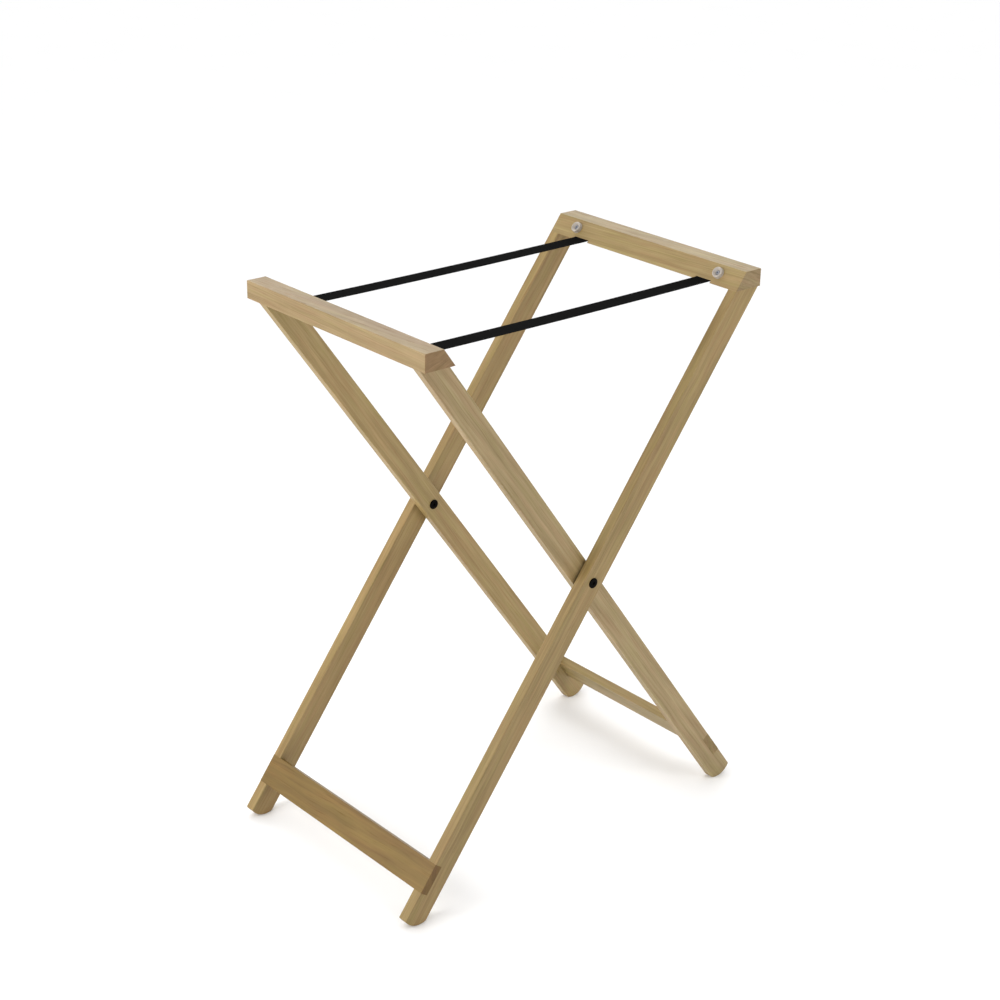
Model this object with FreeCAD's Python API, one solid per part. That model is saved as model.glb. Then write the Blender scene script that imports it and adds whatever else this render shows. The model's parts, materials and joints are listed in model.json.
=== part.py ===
"""Folding rack: two hinged wooden frames, one inside the other, held open by two webbing straps.

Millimetres, +Z up. The floor is z = 0 and the pivot axis runs along Y above the origin.
The inner frame has its top rail on -X and its feet on +X; the outer frame is the other way round.
"""
import FreeCAD, Part
import math
import os
from FreeCAD import Vector

os.makedirs("parts", exist_ok=True)

# ---------------------------------------------------------------- driving dimensions
overall_height = 756.0
leg_angle = math.radians(36.4)      # lean of each leg from upright, rack fully open
rail_length = 350.0
rail_height = 23.0
rail_top_width = 28.0
leg_width = 33.0
leg_thickness = 14.0
side_gap = 2.5                      # between an outer leg and the inner leg beside it

foot_radius = 26.0                  # rolling radius of the rounded foot
foot_centre_along = 460.0           # from the pivot, down the leg
foot_centre_offset = 5.5            # from the leg's centreline, towards its upper face

stretcher_along = 403.5             # pivot to the stretcher's upper edge, down the leg
stretcher_width = 40.0
stretcher_thickness = 12.0

strap_width = 25.0
strap_thickness = 1.5
strap_centre = 115.0                # from the middle of the rail
strap_play = 0.05                   # above and below the strap inside its notch
notch_depth = 3.0
notch_length = 36.0                 # from the rail's bottom inner edge outwards
notch_side_play = 0.5
strap_hold = 32.0                   # length of strap inside the notch

clamp_length = 20.0
clamp_width = 24.0
clamp_thickness = 1.2
clamp_corner_radius = 2.0
clamp_setback = 8.0                 # from the rail's bottom inner edge
clamp_screw_spacing = 13.0
clamp_screw_length = 14.0
clamp_screw_head_radius = 3.4
clamp_screw_head_height = 1.9
clamp_screw_crown_height = 0.9      # the sloping part of the head
clamp_screw_crown_inset = 1.1

bumper_base_radius = 7.5
bumper_top_radius = 7.2
bumper_height = 5.5
bumper_round = 1.2                  # round the top edge
bumper_half_spacing = 133.0         # from the middle of the pair
bumper_shift = 2.0                  # the pair sits this far from the middle of the rail, to the front
bumper_rise = 15.9                  # up the rail's sloping face from its bottom edge
bumper_well_radius = 3.3            # the sunk seat of the screw head
bumper_well_depth = 4.2
bumper_dish_radius = 5.8            # the well opens out to this at its mouth
bumper_dish_depth = 2.9             # of the sloping part of the well
bumper_hole_play = 0.2
bumper_screw_head_radius = 3.0
bumper_screw_head_height = 1.7
bumper_screw_crown_height = 0.8     # the sloping part of the head
bumper_screw_crown_inset = 0.7
bumper_screw_length = 14.0          # below the head

screw_radius = 1.75
screw_point_length = 1.0
screw_socket_width = 3.0            # across the flats
screw_socket_depth = 1.4
pilot_play = 0.05                   # round a screw, dowel or sleeve that doesn't turn
strap_hole_radius = 2.2

dowel_radius = 3.0
rail_dowel_offsets = (8.0, -5.0)    # across the leg, from its centreline
rail_dowel_in_leg = 22.0
rail_dowel_in_rail = 13.0
stretcher_dowel_inset = 11.0        # from the stretcher's upper and lower edge
stretcher_dowel_in_leg = 12.0
stretcher_dowel_in_stretcher = 7.0

sleeve_radius = 4.0
sleeve_bore_radius = 3.0
sleeve_bore_spare = 1.0             # bore deeper than the bolt is long
sleeve_short = 1.0                  # the sleeve stops this far inside the outer leg
running_play = 0.08                 # radial, inner leg on the sleeve
side_play = 0.2                     # axial, on each side of the inner leg
bolt_radius = 2.95
bolt_length = 20.0
pivot_head_radius = 6.8
pivot_head_height = 1.2
pivot_head_round = 0.7
socket_width = 4.0                  # across the flats of the hexagon socket
socket_depth = 2.4
washer_radius = 8.0

over_cut = 1.0                      # how far a cutting tool runs past the face that it enters

# ---------------------------------------------------------------- derived dimensions
INNER = 1                           # feet towards +X
OUTER = -1                          # feet towards -X
sine = math.sin(leg_angle)
cosine = math.cos(leg_angle)
upper_face = leg_width / 2
pivot_height = foot_centre_along * cosine - foot_centre_offset * sine + foot_radius
rail_bottom = overall_height - rail_height
outer_leg_face = rail_length / 2
inner_leg_face = outer_leg_face - leg_thickness - side_gap
leg_face = {INNER: inner_leg_face, OUTER: outer_leg_face}
notch_top = rail_bottom + notch_depth
strap_top = notch_top - strap_play
clamp_top = strap_top - strap_thickness - strap_play
to_back = Vector(0, 1, 0)
upwards = Vector(0, 0, 1)


def along_at(height, offset):
    """How far down the leg, from the pivot, a line at this offset crosses this height."""
    return (offset * sine - (height - pivot_height)) / cosine


def place(lean, along, offset, y=0.0):
    """The point this far down a leg from the pivot, and this far from its centreline."""
    x = along * sine + offset * cosine
    z = pivot_height - along * cosine + offset * sine
    return Vector(lean * x, y, z)


def down(lean):
    return Vector(lean * sine, 0, -cosine)


def outward(lean):
    """Normal of the legs' upper face, which is also the rail's sloping inner face."""
    return Vector(lean * cosine, 0, sine)


rail_edge_along = along_at(rail_bottom, upper_face)
rail_edge_x = abs(place(INNER, rail_edge_along, upper_face).x)
rail_top_inner_x = abs(place(INNER, along_at(overall_height, upper_face), upper_face).x)
rail_outer_x = rail_top_inner_x + rail_top_width


def prism(points, length):
    """A closed outline in a plane of constant y, extruded towards +Y."""
    return Part.Face(Part.makePolygon(points + points[:1])).extrude(to_back * length)


def block(x_range, y_range, z_range):
    low = Vector(min(x_range), min(y_range), min(z_range))
    sizes = [abs(pair[1] - pair[0]) for pair in (x_range, y_range, z_range)]
    return Part.makeBox(*sizes, low)


def bar_across(lean, along_range, offset_range, half_length):
    """A bar along Y, square to the legs of one frame."""
    a0, a1 = along_range
    o0, o1 = offset_range
    corners = [place(lean, a, o, -half_length) for a, o in ((a0, o0), (a1, o0), (a1, o1), (a0, o1))]
    return prism(corners, 2 * half_length)


def rod(start, direction, radius, length):
    return Part.makeCylinder(radius, length, start, direction)


def turned(profile, start, direction):
    """A turned piece: (radius, height) points spun round an axis that leaves start."""
    outline = [Vector(r, 0, h) for r, h in profile]
    solid = Part.Face(Part.makePolygon(outline + outline[:1])).revolve(Vector(), upwards, 360)
    turn = FreeCAD.Rotation(upwards, direction)
    return solid.transformed(FreeCAD.Placement(start, turn).toMatrix())


def hexagon(start, direction, across_flats, depth):
    """A hexagonal plug, for cutting a socket."""
    radius = across_flats / math.sqrt(3)
    corners = [Vector(radius * math.cos(a), radius * math.sin(a), 0)
               for a in (math.radians(60 * i) for i in range(6))]
    plug = Part.Face(Part.makePolygon(corners + corners[:1])).extrude(Vector(0, 0, depth))
    turn = FreeCAD.Rotation(upwards, direction)
    return plug.transformed(FreeCAD.Placement(start, turn).toMatrix())


def screw_socket(face, direction):
    """The plug that cuts a small screw's socket into its face."""
    return hexagon(face - direction * screw_socket_depth, direction, screw_socket_width,
                   screw_socket_depth + over_cut)


def cut_all(shape, tools):
    for tool in tools:
        shape = shape.cut(tool)
    return shape


def export(name, solids):
    solids = solids if isinstance(solids, list) else [solids]
    shape = solids[0] if len(solids) == 1 else Part.makeCompound(solids)
    shape.exportStep("parts/" + name + ".step")


# ---------------------------------------------------------------- where the small pieces sit
def leg_middles(lean):
    """Y of the middle of the front and the back leg of a frame."""
    middle = leg_face[lean] - leg_thickness / 2
    return (-middle, middle)


def rail_dowels(lean, play=0.0):
    """Two dowels up the line of each leg, across the joint with the rail."""
    made = []
    for y in leg_middles(lean):
        for offset in rail_dowel_offsets:
            joint = along_at(rail_bottom, offset)
            start = place(lean, joint + rail_dowel_in_leg + play, offset, y)
            length = rail_dowel_in_leg + rail_dowel_in_rail + 2 * play
            made.append(rod(start, -down(lean), dowel_radius + play, length))
    return made


def stretcher_dowels(lean, play=0.0):
    """Two blind dowels at each end of a stretcher, square to its back face."""
    made = []
    back = upper_face - stretcher_thickness
    rows = (stretcher_along + stretcher_dowel_inset,
            stretcher_along + stretcher_width - stretcher_dowel_inset)
    for y in leg_middles(lean):
        for along in rows:
            start = place(lean, along, back - stretcher_dowel_in_leg - play, y)
            length = stretcher_dowel_in_leg + stretcher_dowel_in_stretcher + 2 * play
            made.append(rod(start, outward(lean), dowel_radius + play, length))
    return made


def bumper_seat(end):
    """Centre of one bumper on the right rail's sloping face."""
    y = end * bumper_half_spacing - bumper_shift
    return place(OUTER, rail_edge_along - bumper_rise, upper_face, y)


def clamp_screw_places(lean, y):
    """Where the two screws of one strap clamp meet the top of the clamp plate."""
    x = -lean * (rail_edge_x + clamp_setback + clamp_length / 2)
    return [Vector(x, y + step, clamp_top)
            for step in (-clamp_screw_spacing / 2, clamp_screw_spacing / 2)]


# ---------------------------------------------------------------- wooden pieces
def leg(lean, end):
    """One leg: level cut under the rail, rounded foot, pivot hole and stretcher housing."""
    y_low = leg_face[lean] - leg_thickness if end > 0 else -leg_face[lean]

    def point(along, offset):
        return place(lean, along, offset, y_low)

    def foot_along(offset):
        reach = offset - foot_centre_offset
        return foot_centre_along + math.sqrt(foot_radius ** 2 - reach ** 2)

    top_upper = point(along_at(rail_bottom, upper_face), upper_face)
    top_lower = point(along_at(rail_bottom, -upper_face), -upper_face)
    foot_upper = point(foot_along(upper_face), upper_face)
    foot_lower = point(foot_along(-upper_face), -upper_face)
    foot_tip = point(foot_centre_along + foot_radius, foot_centre_offset)
    outline = Part.Wire([
        Part.LineSegment(top_lower, top_upper).toShape(),
        Part.LineSegment(top_upper, foot_upper).toShape(),
        Part.Arc(foot_upper, foot_tip, foot_lower).toShape(),
        Part.LineSegment(foot_lower, top_lower).toShape(),
    ])
    bar = Part.Face(outline).extrude(to_back * leg_thickness)
    hole_play = running_play if lean == INNER else pilot_play
    hole_start = Vector(0, y_low - over_cut, pivot_height)
    pivot_hole = rod(hole_start, to_back, sleeve_radius + hole_play, leg_thickness + 2 * over_cut)
    housing = bar_across(lean, (stretcher_along, stretcher_along + stretcher_width),
                         (upper_face - stretcher_thickness, upper_face + over_cut), rail_length)
    dowels = rail_dowels(lean, pilot_play) + stretcher_dowels(lean, pilot_play)
    return cut_all(bar, [pivot_hole, housing] + dowels)


def rail(lean):
    """Top rail: level top, upright outer face, inner face in line with the legs' upper faces."""
    side = -lean
    profile = [Vector(side * x, -rail_length / 2, z) for x, z in (
        (rail_edge_x, rail_bottom),
        (rail_outer_x, rail_bottom),
        (rail_outer_x, overall_height),
        (rail_top_inner_x, overall_height),
    )]
    bar = prism(profile, rail_length)
    tools = rail_dowels(lean, pilot_play)
    half_notch = strap_width / 2 + notch_side_play
    for y in (-strap_centre, strap_centre):
        tools.append(block((side * (rail_edge_x - over_cut), side * (rail_edge_x + notch_length)),
                           (y - half_notch, y + half_notch), (rail_bottom - over_cut, notch_top)))
        for spot in clamp_screw_places(lean, y):
            tools.append(rod(spot, upwards, screw_radius + pilot_play, clamp_screw_length))
    if lean == OUTER:
        pilot_depth = bumper_screw_length - bumper_height + bumper_well_depth + pilot_play
        for end in ends.values():
            tools.append(rod(bumper_seat(end), -outward(lean), screw_radius + pilot_play, pilot_depth))
    return cut_all(bar, tools)


def stretcher(lean):
    """Board let into both legs of a frame near their feet, its ends flush with the legs."""
    board = bar_across(lean, (stretcher_along, stretcher_along + stretcher_width),
                       (upper_face - stretcher_thickness, upper_face), leg_face[lean])
    return cut_all(board, stretcher_dowels(lean, pilot_play))


# ---------------------------------------------------------------- straps and their clamps
def strap(y):
    """Taut webbing from notch to notch, with the holes for the clamp screws."""
    reach = rail_edge_x + strap_hold
    band = block((-reach, reach), (y - strap_width / 2, y + strap_width / 2),
                 (strap_top - strap_thickness, strap_top))
    spots = clamp_screw_places(INNER, y) + clamp_screw_places(OUTER, y)
    return cut_all(band, [rod(spot - upwards * over_cut, upwards, strap_hole_radius,
                              strap_thickness + 2 * over_cut) for spot in spots])


def clamp_plate(lean, y):
    x_near = -lean * (rail_edge_x + clamp_setback)
    x_far = -lean * (rail_edge_x + clamp_setback + clamp_length)
    plate = block((x_near, x_far), (y - clamp_width / 2, y + clamp_width / 2),
                  (clamp_top - clamp_thickness, clamp_top))
    corners = [edge for edge in plate.Edges if edge.Vertexes[0].Z != edge.Vertexes[1].Z]
    plate = plate.makeFillet(clamp_corner_radius, corners)
    return cut_all(plate, [rod(spot + upwards * over_cut, -upwards, screw_radius + pilot_play,
                               clamp_thickness + 2 * over_cut) for spot in clamp_screw_places(lean, y)])


def clamp_screw(spot):
    """Low round-headed screw, driven upwards through plate and strap into the rail."""
    head_face = clamp_thickness + clamp_screw_head_height
    tip = pilot_play - clamp_screw_length
    profile = [
        (0, tip),
        (screw_radius, tip + screw_point_length),
        (screw_radius, clamp_thickness),
        (clamp_screw_head_radius, clamp_thickness),
        (clamp_screw_head_radius, head_face - clamp_screw_crown_height),
        (clamp_screw_head_radius - clamp_screw_crown_inset, head_face),
        (0, head_face),
    ]
    return turned(profile, spot, -upwards).cut(screw_socket(spot - upwards * head_face, -upwards))


# ---------------------------------------------------------------- bumpers
def bumper(end):
    """Tapered rubber button, dished down to a sunk screw seat, on the right rail's sloping face."""
    hole_radius = screw_radius + bumper_hole_play
    well_floor = bumper_height - bumper_well_depth
    outline = [
        (hole_radius, 0),
        (bumper_base_radius, 0),
        (bumper_top_radius, bumper_height),
        (bumper_dish_radius, bumper_height),
        (bumper_well_radius, bumper_height - bumper_dish_depth),
        (bumper_well_radius, well_floor),
        (hole_radius, well_floor),
    ]
    seat = bumper_seat(end)
    axis = outward(OUTER)
    button = turned(outline, seat, axis)
    top_edges = [edge for edge in button.Edges
                 if (edge.CenterOfMass - seat).dot(axis) > well_floor + bumper_well_depth / 2]
    rim = max(top_edges, key=lambda edge: edge.Length)
    return button.makeFillet(bumper_round, [rim])


def bumper_screw(end):
    """Low round-headed screw, its head down inside the bumper's well."""
    floor = bumper_height - bumper_well_depth
    face = floor + bumper_screw_head_height
    tip = floor - bumper_screw_length
    profile = [
        (0, tip),
        (screw_radius, tip + screw_point_length),
        (screw_radius, floor),
        (bumper_screw_head_radius, floor),
        (bumper_screw_head_radius, face - bumper_screw_crown_height),
        (bumper_screw_head_radius - bumper_screw_crown_inset, face),
        (0, face),
    ]
    seat = bumper_seat(end)
    axis = outward(OUTER)
    return turned(profile, seat, axis).cut(screw_socket(seat + axis * face, axis))


# ---------------------------------------------------------------- pivots
def pivot_head(base, direction):
    """Low domed head with a hexagon socket, standing on a face at base."""
    head = rod(base, direction, pivot_head_radius, pivot_head_height)
    rim = max(head.Edges, key=lambda edge: edge.CenterOfMass.dot(direction))
    head = head.makeFillet(pivot_head_round, [rim])
    return head.cut(hexagon(base + direction * (pivot_head_height - socket_depth), direction,
                            socket_width, socket_depth + over_cut))


def pivot_bolt(end):
    """Bolt that enters from outside and threads into the sleeve."""
    base = Vector(0, end * outer_leg_face, pivot_height)
    shank = rod(base, -to_back * end, bolt_radius, bolt_length)
    return pivot_head(base, to_back * end).fuse(shank)


def pivot_sleeve(end):
    """Headed sleeve that enters from inside, the axle that the inner leg turns on."""
    inside = inner_leg_face - leg_thickness - side_play
    base = Vector(0, end * inside, pivot_height)
    barrel = rod(base, to_back * end, sleeve_radius, outer_leg_face - sleeve_short - inside)
    bore_start = Vector(0, end * outer_leg_face, pivot_height)
    bore = rod(bore_start, -to_back * end, sleeve_bore_radius, bolt_length + sleeve_bore_spare)
    return pivot_head(base, -to_back * end).fuse(barrel).cut(bore)


def pivot_washer(end):
    """Spacer that keeps the legs apart."""
    base = Vector(0, end * (outer_leg_face - leg_thickness), pivot_height)
    disc = rod(base, -to_back * end, washer_radius, side_gap - side_play)
    return disc.cut(rod(base, -to_back * end, sleeve_radius + pilot_play, side_gap))


# ---------------------------------------------------------------- write every piece
ends = {"front": -1, "back": 1}
frames = {"inner": INNER, "outer": OUTER}
rails = {"left": INNER, "right": OUTER}

for frame_name, lean in frames.items():
    for end_name, end in ends.items():
        export(frame_name + "_leg_" + end_name, leg(lean, end))
    export(frame_name + "_stretcher", stretcher(lean))
    export(frame_name + "_rail_dowels", rail_dowels(lean))
    export(frame_name + "_stretcher_dowels", stretcher_dowels(lean))

for rail_name, lean in rails.items():
    export(rail_name + "_rail", rail(lean))
    for end_name, end in ends.items():
        export(rail_name + "_strap_clamp_" + end_name, clamp_plate(lean, end * strap_centre))
    export(rail_name + "_clamp_screws", [clamp_screw(spot) for end in ends.values()
                                         for spot in clamp_screw_places(lean, end * strap_centre)])

export("bumper_screws", [bumper_screw(end) for end in ends.values()])

for end_name, end in ends.items():
    export("bumper_" + end_name, bumper(end))
    export("strap_" + end_name, strap(end * strap_centre))
    export("pivot_bolt_" + end_name, pivot_bolt(end))
    export("pivot_sleeve_" + end_name, pivot_sleeve(end))
    export("pivot_washer_" + end_name, pivot_washer(end))

print("pivot height", round(pivot_height, 3))
print("rail inner edge x", round(rail_edge_x, 3), "outer x", round(rail_outer_x, 3))
print("rail bottom", rail_bottom, "strap length", round(2 * (rail_edge_x + strap_hold), 2))
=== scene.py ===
"""Folding luggage rack: crossed oak frames on black pivot bolts, held open by two black webbing straps."""
import json
import math

import bmesh
import bpy
from mathutils import Matrix, Vector


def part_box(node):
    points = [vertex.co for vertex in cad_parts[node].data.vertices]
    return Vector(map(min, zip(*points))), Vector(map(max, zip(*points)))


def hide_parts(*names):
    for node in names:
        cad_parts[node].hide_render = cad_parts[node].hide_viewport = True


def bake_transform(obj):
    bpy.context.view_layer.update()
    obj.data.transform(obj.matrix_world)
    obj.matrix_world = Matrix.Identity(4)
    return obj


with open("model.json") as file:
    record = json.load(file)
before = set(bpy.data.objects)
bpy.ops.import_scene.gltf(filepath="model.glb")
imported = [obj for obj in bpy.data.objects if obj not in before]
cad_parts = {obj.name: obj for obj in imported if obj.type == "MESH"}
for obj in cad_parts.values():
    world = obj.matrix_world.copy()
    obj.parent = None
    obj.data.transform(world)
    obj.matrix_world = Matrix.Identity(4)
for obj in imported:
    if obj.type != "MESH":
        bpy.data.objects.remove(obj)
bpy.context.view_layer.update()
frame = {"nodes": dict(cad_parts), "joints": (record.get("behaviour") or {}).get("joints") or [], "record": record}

MM = 0.001
MM_PER_M = (1000, 1000, 1000)
ENDS = {"front": -1, "back": 1}

# ---------------------------------------------------------------- places taken from the frame
pivot = Vector(frame["joints"][0]["pos_m"])
rail_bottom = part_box("left_rail")[0].z
rail_edge_x = -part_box("left_rail")[1].x
housing_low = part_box("inner_stretcher")[0].z
housing_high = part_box("inner_stretcher")[1].z


# ---------------------------------------------------------------- camera
def add_camera():
    """The view from the front left and above, with a slight roll."""
    azimuth = math.radians(-41.26)
    elevation = math.radians(23.16)
    roll = math.radians(1.27)
    distance = 2.694
    side_shift = -0.0045            # of the aim, along the view's right, from above the pivot
    rise = 0.055                    # of the aim, above the pivot
    film_width = 36                 # mm, as is the lens
    lens = 73.94
    back = Vector((math.sin(azimuth) * math.cos(elevation),
                   -math.cos(azimuth) * math.cos(elevation),
                   math.sin(elevation)))
    right = Vector((math.cos(azimuth), math.sin(azimuth), 0))
    up = back.cross(right)
    aim = pivot + Vector((0, 0, rise)) + right * side_shift
    rolled_right = right * math.cos(roll) + up * math.sin(roll)
    rolled_up = up * math.cos(roll) - right * math.sin(roll)
    camera = bpy.data.objects.new("camera", bpy.data.cameras.new("camera"))
    camera.data.sensor_width = film_width
    camera.data.lens = lens
    axes = Matrix((rolled_right, rolled_up, back)).transposed().to_4x4()
    camera.matrix_world = Matrix.Translation(aim + back * distance) @ axes
    bpy.context.scene.collection.objects.link(camera)
    bpy.context.scene.camera = camera


# ---------------------------------------------------------------- node helpers
def number_node(tree, operation, *values):
    """A Math node of a tree, fed with sockets or plain numbers; gives its output."""
    made = tree.nodes.new("ShaderNodeMath")
    made.operation = operation
    for socket, value in zip(made.inputs, values):
        if isinstance(value, bpy.types.NodeSocket):
            tree.links.new(value, socket)
        else:
            socket.default_value = value
    return made.outputs[0]


class Graph:
    """Short calls for building a material's nodes."""
    mix_colours = (6, 7)            # the two colour inputs of a Mix node
    mix_result = 2                  # and its colour output

    def __init__(self, name):
        self.material = bpy.data.materials.new(name)
        self.material.use_nodes = True
        self.tree = self.material.node_tree
        self.shader = self.tree.nodes["Principled BSDF"]

    def put(self, socket, value):
        if isinstance(value, bpy.types.NodeSocket):
            self.tree.links.new(value, socket)
        else:
            socket.default_value = value

    def node(self, kind, inputs=(), **settings):
        made = self.tree.nodes.new("ShaderNode" + kind)
        for key, value in settings.items():
            setattr(made, key, value)
        for key, value in dict(inputs).items():
            self.put(made.inputs[key], value)
        return made

    def math(self, operation, first, second=0.0, third=0.0, clamp=False):
        made = self.node("Math", {0: first, 1: second}, operation=operation, use_clamp=clamp)
        if operation == "MULTIPLY_ADD":
            self.put(made.inputs[2], third)
        return made.outputs[0]

    def vector(self, operation, first, second=(0, 0, 0)):
        made = self.node("VectorMath", {0: first, 1: second}, operation=operation)
        return made.outputs["Value" if operation == "DOT_PRODUCT" else "Vector"]

    def remap(self, value, low, high, to_low=0.0, to_high=1.0):
        """A smooth step from one level to another."""
        made = self.node("MapRange", {"Value": value, "From Min": low, "From Max": high,
                                      "To Min": to_low, "To Max": to_high},
                         interpolation_type="SMOOTHSTEP")
        return made.outputs["Result"]

    def noise(self, vector, scale=1.0, detail=2.0, roughness=0.5):
        made = self.node("TexNoise", {"Vector": vector, "Scale": scale, "Detail": detail,
                                      "Roughness": roughness})
        return made.outputs["Fac"]

    def stretched(self, vector, scales):
        return self.vector("MULTIPLY", vector, scales)

    def place_mm(self):
        """Where the point lies on its piece, in millimetres."""
        return self.stretched(self.node("TexCoord").outputs["Object"], MM_PER_M)

    def mix(self, factor, first, second, blend="MIX"):
        made = self.node("Mix", data_type="RGBA", blend_type=blend)
        self.put(made.inputs["Factor"], factor)
        for socket, colour in zip(self.mix_colours, (first, second)):
            self.put(made.inputs[socket], colour)
        return made.outputs[self.mix_result]

    def bump(self, height, distance, strength=1.0):
        made = self.node("Bump", {"Height": height, "Distance": distance, "Strength": strength})
        return made.outputs["Normal"]

    def set(self, **values):
        for key, value in values.items():
            self.put(self.shader.inputs[key.replace("_", " ")], value)


# ---------------------------------------------------------------- materials
def oak(name, turn, pith, seed, slant, light, dark, end_tint):
    """Oiled oak: growth rings round a pith, open pores, rays, and slow changes of tone along the board.

    turn brings the board's long axis to X, pith is the middle of the tree in mm beside the board.
    """
    seed_step = 731                 # mm along the tree from one board's figure to the next
    sway_scale = (0.003, 0.012, 0.012)  # per mm along, across and through the board
    sway_reach = 3                  # mm, from the lowest to the highest value of the noise
    arc_radius = 90.0               # mm from the pith at which the angle round it is measured
    ring_width = 2.3                # mm
    ring_crowding = 9.0             # rings that the slow noise adds or takes away
    tone_offset = 1.23              # taken off the sum of the streaks, to centre it between the colours
    end_face, side_face = 0.92, 0.60    # how much of a face's normal lies along the board
    edge_reach = 1.6 * MM           # the worn strip beside an edge
    relief = 0.12 * MM
    g = Graph(name)
    coordinates = g.node("TexCoord")
    board = g.node("Mapping", {"Vector": coordinates.outputs["Object"], "Rotation": turn,
                               "Scale": MM_PER_M}).outputs["Vector"]
    board = g.node("Mapping", {"Vector": board, "Rotation": (0, slant, slant),
                               "Location": (seed * seed_step, *pith)}).outputs["Vector"]
    wander = g.node("TexNoise", {"Vector": g.stretched(board, sway_scale), "Detail": 1.0})
    sway = g.stretched(g.vector("SUBTRACT", wander.outputs["Color"], (0.5, 0.5, 0.5)),
                       (0, sway_reach, sway_reach))
    grain = g.vector("ADD", board, sway)
    along, across, through = g.node("SeparateXYZ", {0: grain}).outputs
    radius = g.math("SQRT", g.math("ADD", g.math("MULTIPLY", across, across),
                                   g.math("MULTIPLY", through, through)))
    arc = g.math("MULTIPLY", g.math("ARCTAN2", through, across), arc_radius)

    def lengthwise(per_mm, cross_scale, detail=2.0, roughness=0.55, offset=0.0):
        """Noise drawn out along the board: per_mm along it, cross_scale per mm across the rings."""
        place = g.node("CombineXYZ", {0: g.math("MULTIPLY_ADD", along, per_mm, offset),
                                      1: g.math("MULTIPLY", radius, cross_scale),
                                      2: g.math("MULTIPLY", arc, cross_scale)}).outputs[0]
        return g.noise(place, 1.0, detail, roughness)

    # growth rings, of uneven width
    slow = g.noise(g.node("CombineXYZ", {0: radius, 1: seed}).outputs[0], 0.11, 1.0)
    rings = g.math("MULTIPLY_ADD", radius, 1 / ring_width, g.math("MULTIPLY", slow, ring_crowding))
    ring = g.math("FRACT", rings)
    early = g.math("MULTIPLY", g.remap(ring, 0.0, 0.12), g.remap(ring, 0.55, 0.2))

    # tone: patches, wide and narrow streaks, and single fibres
    drift = lengthwise(0.009, 0.11, 2.0)
    stripe = lengthwise(0.005, 0.32, 2.0, offset=31.0)
    fibre = lengthwise(0.009, 0.9, 3.0, 0.6)
    tone = g.math("MULTIPLY_ADD", drift, 1.3, g.math("MULTIPLY", stripe, 1.2))
    tone = g.math("MULTIPLY_ADD", fibre, 0.9, tone)
    tone = g.math("MULTIPLY_ADD", early, 0.12, g.math("SUBTRACT", tone, tone_offset), clamp=True)
    colour = g.mix(tone, light, dark)

    # some streaks lean to pink, others to green
    blush = lengthwise(0.011, 0.16, 2.0, offset=77.0)
    colour = g.mix(g.remap(blush, 0.47, 0.66, 0.0, 0.8), colour, (1.02, 0.94, 0.95, 1), "MULTIPLY")
    colour = g.mix(g.remap(blush, 0.50, 0.32, 0.0, 0.8), colour, (0.96, 1.0, 0.88, 1), "MULTIPLY")

    # pores: long thin grooves that crowd into the early wood
    pore_noise = lengthwise(0.026, 2.3, 1.0, offset=13.0)
    crowding = g.math("MULTIPLY_ADD", early, 0.75, 0.25)
    pores = g.math("MULTIPLY", g.remap(pore_noise, 0.55, 0.70), crowding)
    colour = g.mix(g.math("MULTIPLY", pores, 0.45), colour, (0.66, 0.56, 0.44, 1), "MULTIPLY")

    # rays: thin sheets that run out from the pith
    ray_place = g.node("CombineXYZ", {0: g.math("MULTIPLY", along, 0.09),
                                      1: g.math("MULTIPLY", radius, 0.05),
                                      2: g.math("MULTIPLY", arc, 1.3)}).outputs[0]
    rays = g.remap(g.noise(ray_place, 1.0, 1.0), 0.62, 0.72)
    colour = g.mix(g.math("MULTIPLY", rays, 0.35), colour, (1.08, 1.06, 1.02, 1), "MULTIPLY")

    # end grain soaks up more oil
    facing = g.node("Mapping", {"Vector": coordinates.outputs["Normal"], "Rotation": turn},
                    vector_type="NORMAL").outputs["Vector"]
    end_on = g.math("ABSOLUTE", g.node("SeparateXYZ", {0: facing}).outputs[0])
    end_grain = g.remap(end_on, side_face, end_face)
    colour = g.mix(end_grain, colour, end_tint, "MULTIPLY")

    # handled edges are a little paler and smoother
    rounded = g.node("Bevel", {"Radius": edge_reach}, samples=4).outputs["Normal"]
    normal = g.node("NewGeometry").outputs["Normal"]
    edge = g.remap(g.vector("DOT_PRODUCT", rounded, normal), 0.985, 0.88)
    rub = g.math("MULTIPLY", edge, g.remap(g.noise(board, 0.06, 2.0), 0.35, 0.65, 0.25, 1.0))
    colour = g.mix(g.math("MULTIPLY", rub, 0.5), colour, (1.10, 1.09, 1.07, 1), "MULTIPLY")

    # pores and end grain are dull, rays and rubbed edges shine
    rough = g.math("MULTIPLY_ADD", pores, 0.25, g.math("MULTIPLY_ADD", fibre, 0.16, 0.42))
    rough = g.math("SUBTRACT", rough, g.math("MULTIPLY_ADD", rays, 0.05, g.math("MULTIPLY", rub, 0.07)))
    rough = g.math("MULTIPLY_ADD", end_grain, 0.12, rough)
    height = g.math("SUBTRACT", g.math("MULTIPLY", fibre, 0.35), g.math("MULTIPLY", pores, 0.9))
    height = g.math("SUBTRACT", height, g.math("MULTIPLY", early, 0.12))
    g.set(Base_Color=colour, Roughness=rough, Normal=g.bump(height, relief, 0.8))
    return g.material


def beech(name):
    """Plain turned dowel rod."""
    g = Graph(name)
    flecks_per_metre = (900, 900, 120)      # drawn out along Z
    place = g.node("TexCoord").outputs["Object"]
    fleck = g.noise(g.stretched(place, flecks_per_metre), 1.0, 2.0)
    colour = g.mix(g.remap(fleck, 0.35, 0.7), (0.58, 0.42, 0.26, 1), (0.42, 0.28, 0.16, 1))
    g.set(Base_Color=colour, Roughness=g.remap(fleck, 0.2, 0.8, 0.5, 0.7),
          Normal=g.bump(fleck, 0.1 * MM, 0.5))
    return g.material


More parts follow.
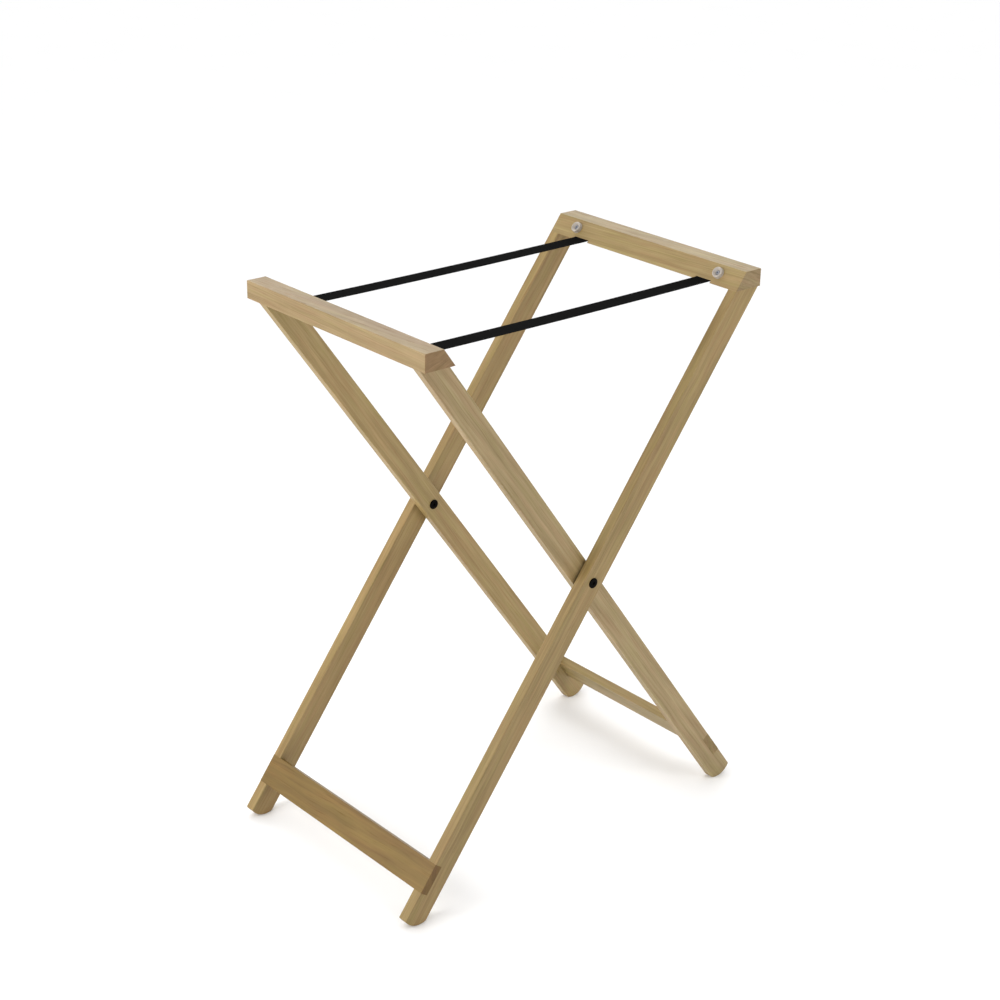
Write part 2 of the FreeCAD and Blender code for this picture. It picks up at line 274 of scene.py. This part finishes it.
def webbing_black(name):
    """Black polyester webbing: matt twisted yarns, with a painted highlight along their crowns and painted shade
    in the creases between them.
    """
    g = Graph(name)
    place = g.place_mm()
    yarn = g.noise(g.stretched(place, (1.2, 9.0, 9.0)), 1.0, 3.0, 0.65)
    slow = g.noise(place, 0.05, 2.0)
    crown = g.remap(g.node("NewGeometry").outputs["Pointiness"], 0.48, 0.53)
    # painted highlight on the rib crowns and painted shade in the creases between ribs, mixed with random yarn
    # tone
    crown_highlight_and_yarn_tone = g.math("MULTIPLY_ADD", crown, 0.7, g.math("MULTIPLY", g.remap(yarn, 0.3, 0.75), 0.3))
    colour = g.mix(crown_highlight_and_yarn_tone, (0.0012, 0.0012, 0.0012, 1), (0.0140, 0.0140, 0.0136, 1))
    colour = g.mix(g.remap(slow, 0.35, 0.7, 0.0, 0.4), colour, (0.7, 0.7, 0.72, 1), "MULTIPLY")
    g.set(Base_Color=colour, Roughness=g.remap(yarn, 0.2, 0.8, 0.75, 0.95), Specular_IOR_Level=0.008,
          Normal=g.bump(yarn, 0.08 * MM, 0.8))
    return g.material


def black_steel(name):
    """Black oxide on turned steel, rubbed a little where it is handled."""
    g = Graph(name)
    place = g.place_mm()
    fine = g.noise(place, 3.0, 3.0, 0.6)
    cloud = g.noise(place, 0.35, 2.0)
    colour = g.mix(g.remap(cloud, 0.35, 0.7), (0.0018, 0.0013, 0.0008, 1), (0.0036, 0.0026, 0.0017, 1))
    g.set(Base_Color=colour, Roughness=g.remap(cloud, 0.2, 0.8, 0.42, 0.58),
          Specular_IOR_Level=0.025, Normal=g.bump(fine, 0.03 * MM, 0.5))
    return g.material


def black_nylon(name):
    """Moulded washer with a fine spark texture."""
    g = Graph(name)
    place = g.place_mm()
    fine = g.noise(place, 4.0, 2.0, 0.6)
    colour = g.mix(fine, (0.012, 0.012, 0.012, 1), (0.03, 0.03, 0.03, 1))
    g.set(Base_Color=colour, Roughness=g.remap(fine, 0.3, 0.7, 0.5, 0.65),
          Normal=g.bump(fine, 0.05 * MM, 0.6))
    return g.material


def rubber(name):
    """Pale moulded rubber, a little dusty."""
    g = Graph(name)
    place = g.place_mm()
    fine = g.noise(place, 2.5, 3.0, 0.6)
    cloud = g.noise(place, 0.25, 2.0)
    colour = g.mix(g.remap(cloud, 0.35, 0.65), (0.49, 0.44, 0.385, 1), (0.43, 0.387, 0.34, 1))
    g.set(Base_Color=colour, Roughness=g.remap(fine, 0.3, 0.7, 0.55, 0.75), Specular_IOR_Level=0.3,
          Normal=g.bump(fine, 0.04 * MM, 0.5))
    return g.material


def plated(name, bright, dull, rough_low, rough_high):
    """Plated steel with faint clouding and fine scratches."""
    g = Graph(name)
    place = g.place_mm()
    cloud = g.noise(place, 0.5, 3.0)
    scratch = g.noise(g.stretched(place, (6.0, 0.5, 3.0)), 1.0, 3.0, 0.7)
    g.set(Base_Color=g.mix(g.remap(cloud, 0.3, 0.7), bright, dull), Metallic=1.0,
          Roughness=g.remap(g.math("MULTIPLY_ADD", scratch, 0.5, g.math("MULTIPLY", cloud, 0.5)),
                            0.3, 0.7, rough_low, rough_high),
          Normal=g.bump(scratch, 0.02 * MM, 0.35))
    return g.material


# ---------------------------------------------------------------- easing of the wooden edges
def node_group(name):
    """An empty geometry group with a geometry socket at each end."""
    group = bpy.data.node_groups.new(name, "GeometryNodeTree")
    for way in ("INPUT", "OUTPUT"):
        group.interface.new_socket("Geometry", in_out=way, socket_type="NodeSocketGeometry")
    return group, group.nodes.new("NodeGroupInput"), group.nodes.new("NodeGroupOutput")


def welded_group():
    """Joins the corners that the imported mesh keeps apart, and shades it smooth."""
    weld_distance = 0.002 * MM
    group, start, end = node_group("welded")
    merge = group.nodes.new("GeometryNodeMergeByDistance")
    merge.inputs["Distance"].default_value = weld_distance
    clear = group.nodes.new("GeometryNodeRemoveAttribute")
    clear.inputs["Name"].default_value = "custom_normal"
    smooth = group.nodes.new("GeometryNodeSetShadeSmooth")
    chain = [start, merge, clear, smooth, end]
    for before, after in zip(chain, chain[1:]):
        group.links.new(before.outputs[0], after.inputs[0])
    return group


def easing_group():
    """Weights each edge for the bevel: full on open edges, slight where pieces meet flush, none in holes."""
    sharp_angle = math.radians(25)  # between the faces beside an edge
    shortest = 5 * MM               # edges of holes are shorter
    foot_margin = 1 * MM            # below the stretcher, where the short edges of the toe are eased too
    flush_margin = 0.2 * MM
    flush_cut = 0.7                 # share of the easing that a flush edge loses
    group, start, end = node_group("easing")
    nodes, links = group.nodes, group.links

    def calc(operation, first, second=0.0):
        return number_node(group, operation, first, second)

    angle = nodes.new("GeometryNodeInputMeshEdgeAngle").outputs["Unsigned Angle"]
    corners = nodes.new("GeometryNodeInputMeshEdgeVertices")
    first, second = corners.outputs["Position 1"], corners.outputs["Position 2"]
    span = nodes.new("ShaderNodeVectorMath")
    span.operation = "DISTANCE"
    links.new(first, span.inputs[0])
    links.new(second, span.inputs[1])
    total = nodes.new("ShaderNodeVectorMath")
    links.new(first, total.inputs[0])
    links.new(second, total.inputs[1])
    split = nodes.new("ShaderNodeSeparateXYZ")
    links.new(total.outputs[0], split.inputs[0])
    height = calc("MULTIPLY", split.outputs[2], 0.5)

    sharp = calc("GREATER_THAN", angle, sharp_angle)
    long = calc("GREATER_THAN", span.outputs["Value"], shortest)
    foot = calc("LESS_THAN", height, housing_low - foot_margin)
    open_edge = calc("MULTIPLY", sharp, calc("MAXIMUM", long, foot))
    off_rail = calc("ABSOLUTE", calc("SUBTRACT", height, rail_bottom))
    off_housing = calc("ABSOLUTE", calc("SUBTRACT", height, (housing_low + housing_high) / 2))
    housing_reach = (housing_high - housing_low) / 2 + flush_margin
    flush = calc("MAXIMUM", calc("LESS_THAN", off_rail, flush_margin),
                 calc("LESS_THAN", off_housing, housing_reach))
    weight = calc("MULTIPLY", open_edge, calc("SUBTRACT", 1.0, calc("MULTIPLY", flush, flush_cut)))

    store = nodes.new("GeometryNodeStoreNamedAttribute")
    store.data_type = "FLOAT"
    store.domain = "EDGE"
    store.inputs["Name"].default_value = "bevel_weight_edge"
    links.new(start.outputs[0], store.inputs[0])
    links.new(weight, store.inputs["Value"])
    crisp = nodes.new("GeometryNodeSetShadeSmooth")
    crisp.domain = "EDGE"
    links.new(store.outputs[0], crisp.inputs[0])
    links.new(sharp, crisp.inputs["Selection"])
    crisp.inputs["Shade Smooth"].default_value = False
    links.new(crisp.outputs[0], end.inputs[0])
    return group


def ease(piece, width):
    """Rounds the open edges of a CAD piece; its own mesh stays as it was packed."""
    flat_angle = math.radians(0.5)
    weld = piece.modifiers.new("weld", "NODES")
    weld.node_group = WELDED
    flat = piece.modifiers.new("flat faces", "DECIMATE")
    flat.decimate_type = "DISSOLVE"
    flat.angle_limit = flat_angle
    weights = piece.modifiers.new("weights", "NODES")
    weights.node_group = EASING
    bevel = piece.modifiers.new("easing", "BEVEL")
    bevel.limit_method = "WEIGHT"
    bevel.width = width
    bevel.segments = 3
    bevel.use_clamp_overlap = False
    bevel.harden_normals = True


# ---------------------------------------------------------------- straps
def webbing(name, end, material):
    """One woven strap: ribs in a herringbone, rounded selvages, holes for the clamp screws, a slight sag."""
    low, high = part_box(name)
    width = high.y - low.y
    half_thickness = (high.z - low.z) / 2
    middle = (low + high) / 2
    ribs = 14
    samples = 4                     # across one rib, and along one crossing
    crossing = 3.2 * MM             # length of one over-and-under
    rib_height = 0.14 * MM
    selvage_power = 30              # keeps the body full until close to the selvage
    selvage_round = 0.4             # and then rounds it off
    sag = 1.2 * MM
    hole_radius = 2.2 * MM
    drawn_from, drawn_to = 0.75, 1.15   # of the hole's radius: points between are drawn onto its edge

    across = ribs * samples
    along = round((high.x - low.x) / crossing) * samples

    holes = []
    for side in ("left", "right"):
        plate_low, plate_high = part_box(side + "_strap_clamp_" + end)
        screws_low, screws_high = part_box(side + "_clamp_screws")
        head_radius = (screws_high.x - screws_low.x) / 2
        x = (plate_low.x + plate_high.x) / 2
        outer_y = (abs(screws_low.y) - head_radius) * ENDS[end]
        inner_y = 2 * middle.y - outer_y
        holes += [Vector((x, outer_y)), Vector((x, inner_y))]

    def surface(i, j, side):
        """A point of the upper (side 1) or lower (side -1) face."""
        x = low.x + (high.x - low.x) * i / along
        share = j / across
        y = low.y + width * share
        lean = 2 * share - 1
        body = max(0.0, 1 - abs(lean) ** selvage_power) ** selvage_round
        rib = min(j // samples, ribs - 1)
        chevron = min(rib, ribs - 1 - rib)
        crown = math.sin(math.pi * (j / samples - rib)) ** 2
        over = 0.5 + 0.5 * math.cos(2 * math.pi * (i / samples + chevron / 4 + (side < 0) / 2))
        relief = rib_height * crown * over * body
        level = middle.z + side * ((half_thickness - rib_height) * body + relief)
        if abs(x) < rail_edge_x:
            level -= sag * (1 - (x / rail_edge_x) ** 2)
        for hole in holes:
            away = Vector((x, y)) - hole
            if hole_radius * drawn_from < away.length < hole_radius * drawn_to:
                x, y = hole + away.normalized() * hole_radius
        return Vector((x, y, level))

    def in_hole(i, j):
        """Whether the middle of a mesh cell lies inside a screw hole."""
        x = low.x + (high.x - low.x) * (i + 0.5) / along
        y = low.y + width * (j + 0.5) / across
        return any((Vector((x, y)) - hole).length < hole_radius for hole in holes)

    mesh = bmesh.new()
    upper = [[mesh.verts.new(surface(i, j, 1)) for j in range(across + 1)] for i in range(along + 1)]
    lower = [[mesh.verts.new(surface(i, j, -1)) if 0 < j < across else upper[i][j]
              for j in range(across + 1)] for i in range(along + 1)]
    for i in range(along):
        for j in range(across):
            if in_hole(i, j):
                continue
            mesh.faces.new((upper[i][j], upper[i + 1][j], upper[i + 1][j + 1], upper[i][j + 1]))
            mesh.faces.new((lower[i][j], lower[i][j + 1], lower[i + 1][j + 1], lower[i + 1][j]))

    # walls of the screw holes and of the cut ends, between each upper point and the one below it
    partner = {}
    for upper_row, lower_row in zip(upper, lower):
        partner.update(zip(upper_row, lower_row))
    for edge in [edge for edge in mesh.edges if len(edge.link_faces) == 1]:
        first, second = edge.verts
        if first not in partner or second not in partner:
            continue
        corners = [first, second]
        corners += [partner[vert] for vert in (second, first) if partner[vert] is not vert]
        if len(corners) > 2:
            mesh.faces.new(corners)
    loose = [vert for vert in mesh.verts if not vert.link_faces]
    bmesh.ops.delete(mesh, geom=loose, context="VERTS")
    bmesh.ops.recalc_face_normals(mesh, faces=mesh.faces)
    for face in mesh.faces:
        face.smooth = True
    data = bpy.data.meshes.new(name + "_webbing")
    mesh.to_mesh(data)
    mesh.free()
    data.materials.append(material)
    strap = bpy.data.objects.new(name + "_webbing", data)
    bpy.context.scene.collection.objects.link(strap)
    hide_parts(name)
    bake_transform(strap)


# ---------------------------------------------------------------- studio
def add_world():
    """Light from all round: a ceiling, a brighter glow beyond the rack and one like a window on the left."""
    ambient = 0.21
    glows = (                       # direction, strength and how tightly it gathers
        ((0.0, 0.0, 1.0), 0.73, 2.0),
        ((0.60, 0.69, 0.40), 1.89, 3.0),
        ((-1.00, 0.05, 0.05), 1.32, 3.0),
    )
    world = bpy.data.worlds.new("studio")
    world.use_nodes = True
    tree = world.node_tree
    nodes, links = tree.nodes, tree.links
    outlook = nodes.new("ShaderNodeTexCoord").outputs["Generated"]
    total = ambient
    for direction, strength, power in glows:
        toward = nodes.new("ShaderNodeVectorMath")
        toward.operation = "DOT_PRODUCT"
        links.new(outlook, toward.inputs[0])
        toward.inputs[1].default_value = Vector(direction).normalized()
        facing = number_node(tree, "MAXIMUM", toward.outputs["Value"], 0.0)
        lobe = number_node(tree, "POWER", facing, power)
        total = number_node(tree, "MULTIPLY_ADD", lobe, strength, total)
    # The backdrop itself is seen as plain white from every side.
    seen = nodes.new("ShaderNodeLightPath").outputs["Is Camera Ray"]
    background = nodes["Background"].inputs
    links.new(number_node(tree, "MAXIMUM", total, seen), background["Strength"])
    background["Color"].default_value = (1, 1, 1, 1)
    bpy.context.scene.world = world
    bpy.context.scene.view_settings.view_transform = "Standard"


def add_floor():
    """A plain white floor that reaches well past every view."""
    reach = 20
    g = Graph("floor_white")
    mottle = g.noise(g.node("TexCoord").outputs["Object"], 6.0, 2.0)
    g.set(Base_Color=g.mix(mottle, (0.93, 0.93, 0.93, 1), (0.95, 0.95, 0.95, 1)), Roughness=0.9,
          Specular_IOR_Level=0.1)
    data = bpy.data.meshes.new("floor")
    corners = [(-reach, -reach, 0), (reach, -reach, 0), (reach, reach, 0), (-reach, reach, 0)]
    data.from_pydata(corners, [], [(0, 1, 2, 3)])
    data.materials.append(g.material)
    floor = bpy.data.objects.new("floor", data)
    bpy.context.scene.collection.objects.link(floor)


def add_lamps():
    """Two soft lamps aimed at the pivot: the key on the left, a weaker fill in front."""
    lamps = (                       # name, place, width and power
        ("key", (-1.8, 0.3, 1.3), 1.2, 18.0),
        ("fill", (0.7, -1.7, 1.0), 0.8, 9.5),
    )
    for name, spot, width, power in lamps:
        data = bpy.data.lights.new(name, "AREA")
        data.shape = "DISK"
        data.size = width
        data.energy = power
        lamp = bpy.data.objects.new(name, data)
        lamp.location = spot
        aim = pivot - Vector(spot)
        lamp.rotation_euler = aim.to_track_quat("-Z", "Y").to_euler()
        lamp.visible_camera = False
        bpy.context.scene.collection.objects.link(lamp)


# ---------------------------------------------------------------- the rack
add_camera()
add_world()
add_floor()
add_lamps()

WELDED = welded_group()
EASING = easing_group()
EASED = 0.8 * MM                    # width of the rounding on the open edges of the wood

leg_lean = math.radians(36.4)       # from upright
leg_turn = math.pi / 2 - leg_lean
along_inner = (0, -leg_turn, 0)
along_outer = (0, leg_turn, 0)
along_rail = (0, 0, -math.pi / 2)
LIGHT_OAK = (0.425, 0.318, 0.170)
DARK_OAK = (0.265, 0.180, 0.076)
LEG_END = (0.84, 0.80, 0.74)
boards = {                          # turn of the length to X, pith, seed, slant of the grain, tint, end tint
    "left_rail": (along_rail, (62, 35), 1, 0.05, (0.78, 0.74, 0.64), (0.80, 0.68, 0.60)),
    "right_rail": (along_rail, (-70, 48), 2, -0.02, (0.86, 0.84, 0.66), (0.82, 0.82, 0.96)),
    "inner_leg_front": (along_inner, (300, 45), 3, 0.01, (0.88, 0.88, 0.78), LEG_END),
    "inner_leg_back": (along_inner, (-40, 90), 4, -0.015, (0.94, 0.91, 0.70), LEG_END),
    "outer_leg_front": (along_outer, (330, -60), 5, 0.02, (0.75, 0.70, 0.48), LEG_END),
    "outer_leg_back": (along_outer, (-30, -75), 6, 0.0, (0.86, 0.80, 0.57), LEG_END),
    "inner_stretcher": (along_rail, (-55, 80), 7, 0.01, (0.77, 0.75, 0.58), LEG_END),
    "outer_stretcher": (along_rail, (210, 30), 8, -0.02, (0.53, 0.44, 0.17), (0.80, 0.68, 0.55)),
}
for name, (turn, pith, seed, slant, tint, end_tint) in boards.items():
    piece = frame["nodes"][name]
    light = [level * share for level, share in zip(LIGHT_OAK, tint)] + [1]
    dark = [level * share for level, share in zip(DARK_OAK, tint)] + [1]
    piece.material_slots[0].material = oak("oak_" + name, turn, pith, seed, slant, light, dark,
                                           (*end_tint, 1))
    ease(piece, EASED)

finishes = {
    "beech_dowel": beech("beech_dowel_rod"),
    "black_steel": black_steel("black_oxide_steel"),
    "black_nylon": black_nylon("moulded_nylon"),
    "pale_rubber": rubber("pale_rubber"),
    "zinc_screw": plated("zinc_plate_screw", (0.50, 0.51, 0.55, 1), (0.38, 0.39, 0.43, 1), 0.25, 0.42),
    "zinc_plate": plated("zinc_plate_sheet", (0.60, 0.61, 0.64, 1), (0.50, 0.51, 0.54, 1), 0.28, 0.45),
}
for part in frame["record"]["subparts"]:
    if part["material_slot"] in finishes:
        piece = frame["nodes"][part["node"]]
        piece.material_slots[0].material = finishes[part["material_slot"]]

black_webbing = webbing_black("black_polyester_webbing")
for end in ENDS:
    webbing("strap_" + end, end, black_webbing)
